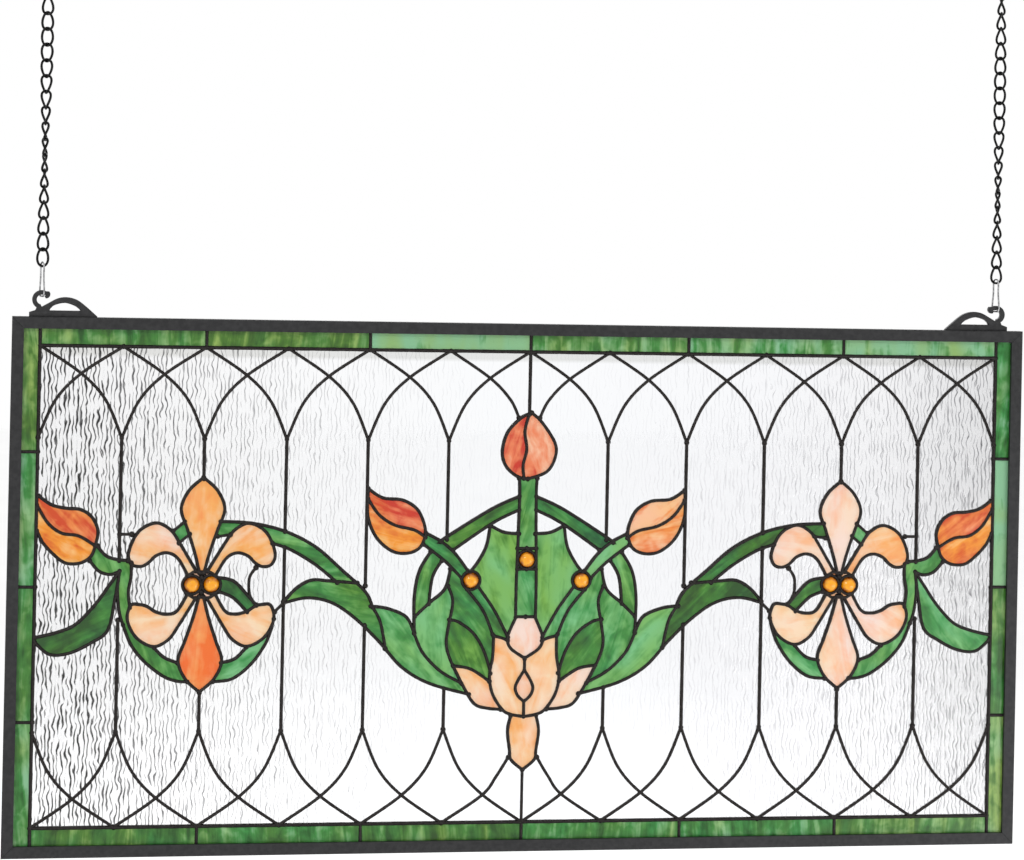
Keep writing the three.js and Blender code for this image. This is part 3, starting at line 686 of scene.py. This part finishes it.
def blend(a, b, share):
    return tuple(x + (y - x) * share for x, y in zip(a, b))


def streaky_glass(name, bluish, yellowish, along, across, contrast):
    """Opalescent sheet glass: cloudy streaks between pale and deep tints, lit from both sides."""
    finish = Finish(name, Roughness=0.3, IOR=1.45, Transmission_Weight=0.25, Coat_Weight=0.06,
                    Coat_Roughness=0.06)
    streaks = finish.noise(finish.grain(along, across), 1.0, 4.0, 0.6, 0.8)
    clouds = finish.noise(finish.grain(along * 1.4, across * 0.35), 1.0, 2.0, 0.5, 0.5)
    mottle = finish.noise(finish.grain(75, 95), 1.0, 2.0, 0.5, 0.6)
    mixed = finish.maths("ADD", finish.maths("MULTIPLY", streaks, 0.45),
                         finish.maths("MULTIPLY", clouds, 0.25))
    mixed = finish.maths("ADD", mixed, finish.maths("MULTIPLY", mottle, 0.3))
    factor = finish.maths("ADD", finish.above(mixed, 0.5, contrast), finish.attribute("deep"),
                          clamp=True)
    drift = finish.noise(finish.grain(along * 1.6, across * 0.4), 1.0, 1.0, 0.5, 0.4)
    warmth = finish.maths("ADD", finish.attribute("warm"), finish.above(drift, 0.5, 1.8),
                          clamp=True)
    tints = [finish.ramp(factor, *((i / (len(stops) - 1), tint) for i, tint in enumerate(stops)))
             for stops in (bluish, yellowish)]
    finish.link(finish.mix(warmth, *tints), "Base Color")
    finish.bump(finish.noise(finish.grain(60, 90), 1.0, 2.0), 0.12, 0.0006)
    return finish.material


def rippled_glass():
    """Clear water glass: fine upright ripples with broken lines of painted refracted shade, darkest
    to the left.
    """
    finish = Finish("clear_rippled_glass", Roughness=0.02, IOR=1.45, Transmission_Weight=1.0)
    place_on = finish.add("SeparateXYZ", {"Vector": finish.object_place()}).outputs
    across = finish.above(place_on["X"], -CHAIN_X / 1000, 1000 / WIDTH)
    ripples = finish.add("TexWave", {
        "Vector": finish.object_place(), "Scale": 86.0, "Distortion": 6.0, "Detail": 1.0,
        "Detail Scale": 1.15, "Detail Roughness": 0.4}, bands_direction="X").outputs["Fac"]
    breaks = finish.noise(finish.object_place((190, 190, 62)), 1.0, 1.0, 0.5, 0.0)
    # Width of the painted dark lines of refracted shade, widest to the left.
    width = finish.above(breaks, 0.45, finish.ramp(
        across, (0.08, 3.2), (0.17, 1.15), (0.5, 0.5), (0.92, 1.4)))
    line = finish.maths("DIVIDE", ripples, finish.maths("MAXIMUM", width, 0.0005))
    # Painted shade: the clear glass is greyest at the right, grey at the left and palest in the
    # middle.
    painted_glass_shade = finish.ramp(across, (0.0, (0.9, 0.9, 0.91)), (0.15, (0.94, 0.94, 0.945)),
                        (0.3, (0.965, 0.97, 0.98)), (0.5, (0.965, 0.975, 0.99)),
                        (0.72, (0.95, 0.955, 0.975)), (0.86, (0.91, 0.91, 0.925)),
                        (0.97, (0.76, 0.76, 0.77)))
    # Painted shade: the colour of the ripple lines, standing in for dark surroundings seen through
    # the ripples, darkest at the left and right.
    painted_line_shade = finish.ramp(across, (0.08, 0.002), (0.18, (0.12, 0.12, 0.125)),
                         (0.3, (0.52, 0.52, 0.53)), (0.45, (0.9, 0.91, 0.93)),
                         (0.6, (0.86, 0.865, 0.885)), (0.8, (0.5, 0.5, 0.52)),
                         (0.95, (0.16, 0.16, 0.17)))
    share = finish.ramp(line, (0.25, 1.0), (1.0, 0.0))
    tint = finish.mix(share, painted_glass_shade, painted_line_shade)
    # A painted grey shade under the top border, standing in for the border's shadow on the glass.
    painted_top_shade = finish.ramp(finish.above(place_on["Z"], -0.38, 50.0), (0.5, 1.0),
                       (0.66, (0.8, 0.8, 0.78)))
    finish.link(finish.mix(1.0, tint, painted_top_shade, blend_type="MULTIPLY"), "Base Color")
    depth = finish.ramp(across, (0.1, 0.35), (0.35, 0.1), (0.45, 0.03), (0.65, 0.06), (0.8, 0.3))
    finish.bump(ripples, depth, 0.0006)
    return finish.material


def glass_finishes(tints):
    return {
        "clear_glass": rippled_glass(),
        "border_glass": streaky_glass(
            "streaky_border_glass",
            (tints.border_pale, (0.03, 0.26, 0.045), (0.002, 0.1, 0.005)),
            ((0.27, 0.43, 0.09), (0.06, 0.18, 0.012), (0.018, 0.07, 0.003)), 12, 120, 4.4),
        "leaf_glass": streaky_glass(
            "streaky_leaf_glass",
            (tints.leaf_pale, (0.035, 0.28, 0.06), tints.leaf_deep),
            ((0.18, 0.42, 0.06), (0.045, 0.19, 0.01), (0.016, 0.07, 0.003)), 14, 110, 3.6),
        "petal_glass": streaky_glass(
            "opal_petal_glass",
            (tints.petal_pale, (0.87, 0.42, 0.24), tints.petal_deep),
            ((0.88, 0.66, 0.42), (0.87, 0.4, 0.1), (0.84, 0.17, 0.015)), 12, 75, 2.4),
        "bud_glass": streaky_glass(
            "flame_bud_glass",
            (tints.bud_pale, (0.8, 0.22, 0.09), tints.bud_deep),
            ((0.9, 0.52, 0.18), (0.84, 0.3, 0.02), (0.66, 0.09, 0.004)), 14, 95, 4.2),
    }


def lead_finish():
    finish = Finish("patinated_lead", Metallic=0.85, Roughness=0.42)
    finish.speckle(900.0, 3.0, 0.3, (0.012, 0.01, 0.01), (0.034, 0.03, 0.028))
    finish.grit(450.0, 3.0, 0.35, 0.0004)
    return finish.material


def satin_paint():
    finish = Finish("charcoal_satin_paint", Metallic=0.2, Roughness=0.5, Specular_IOR_Level=0.35)
    finish.speckle(260.0, 4.0, 0.35, (0.014, 0.014, 0.015), (0.024, 0.024, 0.025))
    finish.grit(1400.0, 2.0, 0.08, 0.0002)
    return finish.material


def wire_finish(name, dark, light, rough):
    finish = Finish(name, Metallic=0.9, Roughness=rough)
    finish.speckle(500.0, 3.0, 0.35, dark, light)
    finish.grit(2200.0, 2.0, 0.1, 0.0001)
    return finish.material


def jewel_finish(tint):
    finish = Finish("amber_jewel_glass", Roughness=0.04, IOR=1.5, Transmission_Weight=0.1,
                    Coat_Weight=0.15, Coat_Roughness=0.03)
    rim = finish.attribute("rim")
    cloud = finish.maths("SUBTRACT", finish.noise(finish.object_place(), 160.0, 2.0), 0.5)
    # Painted shade: the amber darkens towards each jewel's rim, standing in for the dome's darker
    # edge; the cloud adds random tone.
    shade = finish.ramp(
        finish.maths("ADD", rim, cloud), (0.0, blend(tint, (0.75, 0.24, 0.0), 0.6)), (0.55, tint),
        (0.8, blend(tint, (0.45, 0.1, 0.0), 0.7)), (1.0, (0.16, 0.03, 0.0)))
    finish.link(shade, "Base Color")
    return finish.material


# ---- leads and jewels ----
def flat_curve(name, lines, closed=False):
    """A curve object drawn flat, to be stood upright once it is a mesh."""
    data = new_curve(name, "2D")
    data.fill_mode = "NONE"
    for points, widths in lines:
        spots = [place(x, z) for x, z in points]
        add_spline(data, [(at.x, at.z, 0) for at in spots], closed, widths)
    return add_object(name, data)


def to_mesh(piece):
    pick(piece)
    bpy.ops.object.convert(target="MESH")
    return bpy.context.view_layer.objects.active


def stand_up(piece):
    """Turns a flat curve into a mesh in the panel's upright plane."""
    piece = to_mesh(piece)
    piece.data.transform(UPRIGHT)
    return piece


def bead_profile(width, depth):
    """The cross-section of a lead: one rounded outline, from face to face of the panel."""
    def rounded(share, size):
        return math.copysign(abs(share) ** 0.75, share) * size / 2

    turns = [2 * math.pi * i / 10 for i in range(10)]
    data = new_curve("bead_profile", "2D")
    add_spline(data, [(rounded(math.cos(turn), width), rounded(math.sin(turn), depth), 0)
                      for turn in turns], True)
    return add_object("bead_profile", data)


def subdivided(line):
    (x0, z0), (x1, z1) = line
    steps = max(2, round(math.dist(*line) / 4))
    return [(x0 + (x1 - x0) * i / steps, z0 + (z1 - z0) * i / steps) for i in range(steps + 1)]


def solder_dab():
    """One flattened dab of solder, centred on the origin."""
    deselect()
    bpy.ops.mesh.primitive_uv_sphere_add(segments=10, ring_count=6, radius=1, location=(0, 0, 0))
    dab = bpy.context.view_layer.objects.active
    dab.data.transform(Matrix.Diagonal((*SOLDER_DAB, 1)))
    return dab


class GLASS_OT_run_leads(bpy.types.Operator):
    """Run the lead beads along every line, with solder dabs at the joints and round the jewels"""

    bl_idname = "glass.run_leads"
    bl_label = "Run the Leads"

    def execute(self, context):
        sizes = context.scene.panel_sizes
        lines = []
        for seed, (line, width) in enumerate(LINES):
            dense = smooth(*line) if len(line) > 2 else subdivided(line)
            lines.append((dense, [width / WIDE * (1 + 0.05 * wobble(i * 0.7, seed))
                                  for i in range(len(dense))]))
        leads = flat_curve("leads", lines)
        profile = bead_profile(sizes.bead_width, sizes.bead_depth)
        leads.data.bevel_mode = "OBJECT"
        leads.data.bevel_object = profile
        leads.data.use_fill_caps = True
        beads = stand_up(leads)
        bpy.data.objects.remove(profile)
        dab = solder_dab()
        dabs = []
        ends = {(round(x), round(z)): (x, z) for line, _ in LINES for x, z in (line[0], line[-1])}
        for seed, (x, z) in enumerate(ends.values()):
            if inset(x, z) > SETTING:
                copy = add_object("dab", dab.data.copy())
                copy.data.transform(Matrix.Scale(0.95 + 0.2 * chance(seed), 4))
                copy.data.transform(Matrix.Translation(place(x, z)))
                dabs.append(copy)
        bpy.data.objects.remove(dab)
        for x, z in JEWELS:
            deselect()
            bpy.ops.mesh.primitive_torus_add(
                location=place(x, z, -GLASS / 2), rotation=(math.pi / 2, 0, 0),
                major_segments=32, minor_segments=10, major_radius=COLLAR_RADIUS,
                minor_radius=COLLAR_BEAD)
            dabs.append(context.view_layer.objects.active)
        for left, right in (JEWELS[:2], JEWELS[5:]):
            for up in (-6.5, 0, 6.5):
                copy = solder_dab()
                copy.data.transform(Matrix.Scale(1.25, 4))
                copy.location = place((left[0] + right[0]) / 2, left[1] + up)
                dabs.append(copy)
        piece = join([beads, *dabs])
        settle(piece, "lead_beads", lead_finish(), angle=50)
        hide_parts("leadwork")
        return {"FINISHED"}


class GLASS_OT_set_jewels(bpy.types.Operator):
    """Set the round domed jewels, flat behind and proud in front"""

    bl_idname = "glass.set_jewels"
    bl_label = "Set the Jewels"

    def execute(self, context):
        finish = jewel_finish(context.scene.glass_colours.jewel)
        dome = context.scene.panel_sizes.jewel_dome
        for number, (x, z) in enumerate(JEWELS, 1):
            deselect()
            bpy.ops.mesh.primitive_uv_sphere_add(segments=32, ring_count=20,
                                                 radius=JEWEL_RADIUS, location=(0, 0, 0))
            jewel = context.view_layer.objects.active
            bpy.ops.object.mode_set(mode="EDIT")
            bpy.ops.mesh.select_all(action="SELECT")
            bpy.ops.mesh.bisect(plane_co=(0, 0, 0), plane_no=(0, 0, 1), clear_inner=True,
                                use_fill=True)
            bpy.ops.mesh.select_all(action="DESELECT")
            bpy.ops.object.mode_set(mode="OBJECT")
            jewel.data.transform(Matrix.Diagonal((1, 1, dome / JEWEL_RADIUS, 1)))
            for face in jewel.data.polygons:
                face.select = face.normal.z < -0.9
            bpy.ops.object.mode_set(mode="EDIT")
            bpy.ops.mesh.extrude_region_move(
                TRANSFORM_OT_translate={"value": (0, 0, -GLASS / 1000)})
            bpy.ops.mesh.select_all(action="SELECT")
            bpy.ops.mesh.normals_make_consistent(inside=False)
            bpy.ops.object.mode_set(mode="OBJECT")
            jewel.data.transform(UPRIGHT)
            # How far each point lies from the jewel's middle, for the painted shade at its rim.
            rim = jewel.data.attributes.new("rim", "FLOAT", "POINT")
            rim.data.foreach_set("value", [math.hypot(vertex.co.x, vertex.co.z) / JEWEL_RADIUS
                                           for vertex in jewel.data.vertices])
            jewel.data.transform(Matrix.Translation(place(x, z, -GLASS / 2)))
            settle(jewel, f"domed_jewel_{number}", finish)
            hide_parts(f"jewel_{number}")
        return {"FINISHED"}


# ---- frame and hangers ----
class GLASS_OT_paint_rails(bpy.types.Operator):
    """Give the frame's rails their dark satin paint"""

    bl_idname = "glass.paint_rails"
    bl_label = "Paint the Rails"

    def execute(self, context):
        finish = satin_paint()
        for side in ("bottom", "top", "left", "right"):
            rail = bpy.data.objects[f"frame_rail_{side}"]
            rail.data.materials.clear()
            rail.data.materials.append(finish)
        return {"FINISHED"}


def bracket_outlines():
    """The scrolled plate and its opening, millimetres across and above the rail."""
    hook = (24.8, 14.8)
    outline = [(14.2, 0), (14.2, 3.8), (19.5, 5.6)]
    outline += arc(*hook, 8.2, 238, 62, 22)
    outline += arc(28.6, hook[1] + 4.6, 3.6, 45, -95, 12)
    outline += [(27.4, 17.2), (27.9, 18.8)]
    outline += arc(*hook, 4.2, 70, 258, 20)
    outline += smooth((25, 8.6), (31, 12), (38.5, 16), (46, 17.2), (54, 15.6), (61, 11.2),
                      (73, 0.8))
    outline += [(73, 0)]
    opening = smooth((31.7, 5.5), (35, 9.6), (45, 12.1), (54.5, 9), (58.2, 5.5))
    return outline, opening


class GLASS_OT_cut_brackets(bpy.types.Operator):
    """Cut the two scrolled brackets that stand on the top rail"""

    bl_idname = "glass.cut_brackets"
    bl_label = "Cut the Brackets"

    def execute(self, context):
        thick = context.scene.panel_sizes.bracket_thick
        finish = satin_paint()
        for side in ("left", "right"):
            loops = [([(x if side == "left" else WIDTH - x, HEIGHT + z) for x, z in loop], None)
                     for loop in bracket_outlines()]
            plate = flat_curve("bracket", loops, closed=True)
            plate.data.fill_mode = "BOTH"
            plate.data.extrude = thick / 2 - BRACKET_EDGE
            plate.data.bevel_depth = BRACKET_EDGE
            plate.data.bevel_resolution = 1
            plate.data.offset = -BRACKET_EDGE
            piece = stand_up(plate)
            bpy.ops.object.mode_set(mode="EDIT")
            bpy.ops.mesh.select_all(action="SELECT")
            bpy.ops.mesh.remove_doubles(threshold=0.00001)
            bpy.ops.mesh.normals_make_consistent(inside=False)
            bpy.ops.object.mode_set(mode="OBJECT")
            settle(piece, f"scrolled_bracket_{side}", finish)
            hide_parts(f"bracket_{side}")
        return {"FINISHED"}


def wire_loop(path, radius):
    """A round wire along a closed path of points in metres."""
    data = new_curve("wire", "3D")
    add_spline(data, path, True)
    data.bevel_depth = radius
    data.bevel_resolution = 2
    return to_mesh(add_object("wire", data))


def link_foot(sizes):
    """Height of the lowest link's middle, counted down from the top ring."""
    return RING_CENTRE - TOP_LINK - (sizes.link_count - 0.5) * sizes.link_pitch * 1000


class GLASS_OT_hang_chains(bpy.types.Operator):
    """Bend one curb link and hang a run of copies from each top ring"""

    bl_idname = "glass.hang_chains"
    bl_label = "Hang the Chains"

    def execute(self, context):
        sizes = context.scene.panel_sizes
        finish = wire_finish("black_chain_steel", 0.004, 0.016, 0.34)
        turns = [2 * math.pi * i / 28 for i in range(28)]
        wide, deep, high = LINK_REACH
        path = [(wide * math.cos(t), deep * math.sin(2 * t), high * math.sin(t)) for t in turns]
        model = wire_loop(path, sizes.link_wire)
        for side, x in CHAINS:
            links = []
            for i in range(sizes.link_count):
                link = add_object("link", model.data.copy())
                turn = LINK_TURN * i + FIRST_TURN + 2.5 * wobble(i * 1.7, 3)
                link.data.transform(Matrix.Rotation(math.radians(turn), 4, "Z"))
                up = link_foot(sizes) + i * sizes.link_pitch * 1000
                link.data.transform(Matrix.Translation(place(x, up)))
                links.append(link)
            piece = join(links)
            settle(piece, f"curb_chain_{side}", finish)
            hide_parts(f"chain_{side}")
        bpy.data.objects.remove(model)
        return {"FINISHED"}


class GLASS_OT_close_rings(bpy.types.Operator):
    """Close a round ring on the top link of each chain"""

    bl_idname = "glass.close_rings"
    bl_label = "Close the Top Rings"

    def execute(self, context):
        finish = wire_finish("black_ring_steel", 0.004, 0.016, 0.34)
        for side, x in CHAINS:
            deselect()
            bpy.ops.mesh.primitive_torus_add(
                location=place(x, RING_CENTRE),
                rotation=(math.pi / 2, 0, math.radians(RING_TURN)), major_segments=48,
                minor_segments=14, major_radius=RING_RADIUS, minor_radius=RING_WIRE)
            piece = context.view_layer.objects.active
            settle(piece, f"closed_ring_{side}", finish)
            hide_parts(f"top_ring_{side}")
        return {"FINISHED"}


class GLASS_OT_bend_clips(bpy.types.Operator):
    """Bend the wire clips that join the chains to the brackets' hooks"""

    bl_idname = "glass.bend_clips"
    bl_label = "Bend the Clips"

    def execute(self, context):
        finish = wire_finish("bare_steel_wire", 0.2, (0.5, 0.5, 0.51), 0.28)
        outline = smooth((3.0, -14.85), (4.3, -12), (4.2, -8), (3.1, 2), (3.2, 9), (2.6, 13.3),
                         (0, 14.85), (-2.6, 13.3), (-3.2, 9), (-3.1, 2), (-4.2, -8), (-4.3, -12),
                         (-3.0, -14.85))
        for side, x in CHAINS:
            path = []
            for y, z in outline:
                turned = Matrix.Rotation(math.radians(CLIP_TURN), 2) @ Vector((0, y))
                path.append(place(x + turned.x, HEIGHT + CLIP_MIDDLE + z, turned.y))
            piece = wire_loop(path, CLIP_WIRE)
            settle(piece, f"wire_clip_{side}", finish)
            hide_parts(f"clip_{side}")
        return {"FINISHED"}


# ---- stage ----
class GLASS_OT_set_stage(bpy.types.Operator):
    """Lay the pale floor and set the soft lights and the camera"""

    bl_idname = "glass.set_stage"
    bl_label = "Set the Stage"

    def execute(self, context):
        deselect()
        bpy.ops.mesh.primitive_plane_add(size=24, location=(0.43, 0, -1.3))
        floor = context.view_layer.objects.active
        floor.name = "pale_floor"
        finish = Finish("pale_floor_paint", Roughness=0.9)
        finish.speckle(3.0, 2.0, 0.3, 0.955, 0.985)
        floor.data.materials.append(finish.material)
        world = bpy.data.worlds.new("soft_white")
        world.use_nodes = True
        backdrop = world.node_tree.nodes["Background"].inputs
        backdrop["Color"].default_value = (1, 1, 1, 1)
        backdrop["Strength"].default_value = 1.0
        context.scene.world = world
        for name, at, size, power in (("soft_front", (-1.2, -2.6, 1.2), 0.5, 22),
                                      ("soft_right", (1.5, -0.9, -1.1), 0.8, 5),
                                      ("soft_behind", (1.0, 2.4, 1.4), 2.4, 30)):
            light = bpy.data.lights.new(name, "AREA")
            light.size = size
            light.energy = power
            lamp = add_object(name, light)
            lamp.location = at
            aim = Vector((0.43, 0, -0.57)) - lamp.location
            lamp.rotation_euler = aim.to_track_quat("-Z", "Y").to_euler()
        camera = bpy.data.cameras.new("camera")
        camera.lens = 104.11875
        camera.shift_y = -0.2168
        camera.clip_end = 60
        stand = add_object("camera", camera)
        yaw, pitch, roll = 0.16868, 0.00468, 0.02091
        facing = (Matrix.Rotation(-yaw, 3, "Z") @ Matrix.Rotation(math.pi / 2 + pitch, 3, "X")
                  @ Matrix.Rotation(roll, 3, "Z"))
        stand.rotation_euler = facing.to_euler()
        stand.location = place(-6.16, 560.8, -2606.85)
        context.scene.camera = stand
        context.scene.view_settings.view_transform = "Standard"
        return {"FINISHED"}


STEPS = (GLASS_OT_cut_panes, GLASS_OT_run_leads, GLASS_OT_set_jewels, GLASS_OT_paint_rails,
         GLASS_OT_cut_brackets, GLASS_OT_bend_clips, GLASS_OT_hang_chains, GLASS_OT_close_rings,
         GLASS_OT_set_stage)


class GLASS_PT_panel(bpy.types.Panel):
    """Lists the sizes, the colours and the steps in the sidebar"""

    bl_idname = "GLASS_PT_panel"
    bl_label = "Stained Glass Panel"
    bl_space_type = "VIEW_3D"
    bl_region_type = "UI"
    bl_category = "Stained Glass"

    def draw(self, context):
        for group in (context.scene.panel_sizes, context.scene.glass_colours):
            for key in group.__annotations__:
                self.layout.prop(group, key)
        for step in STEPS:
            self.layout.operator(step.bl_idname)


CLASSES = (GlassColours, PanelSizes, *STEPS, GLASS_PT_panel)


def register():
    for item in CLASSES:
        bpy.utils.register_class(item)
    bpy.types.Scene.glass_colours = bpy.props.PointerProperty(type=GlassColours)
    bpy.types.Scene.panel_sizes = bpy.props.PointerProperty(type=PanelSizes)


def unregister():
    del bpy.types.Scene.panel_sizes
    del bpy.types.Scene.glass_colours
    for item in reversed(CLASSES):
        bpy.utils.unregister_class(item)


def main():
    register()
    draw_border_and_lattice()
    draw_side_buds_and_rings()
    draw_flowers()
    draw_middle()
    for step in STEPS:
        group, name = step.bl_idname.split(".")
        getattr(getattr(bpy.ops, group), name)()


if __name__ == "__main__":
    main()
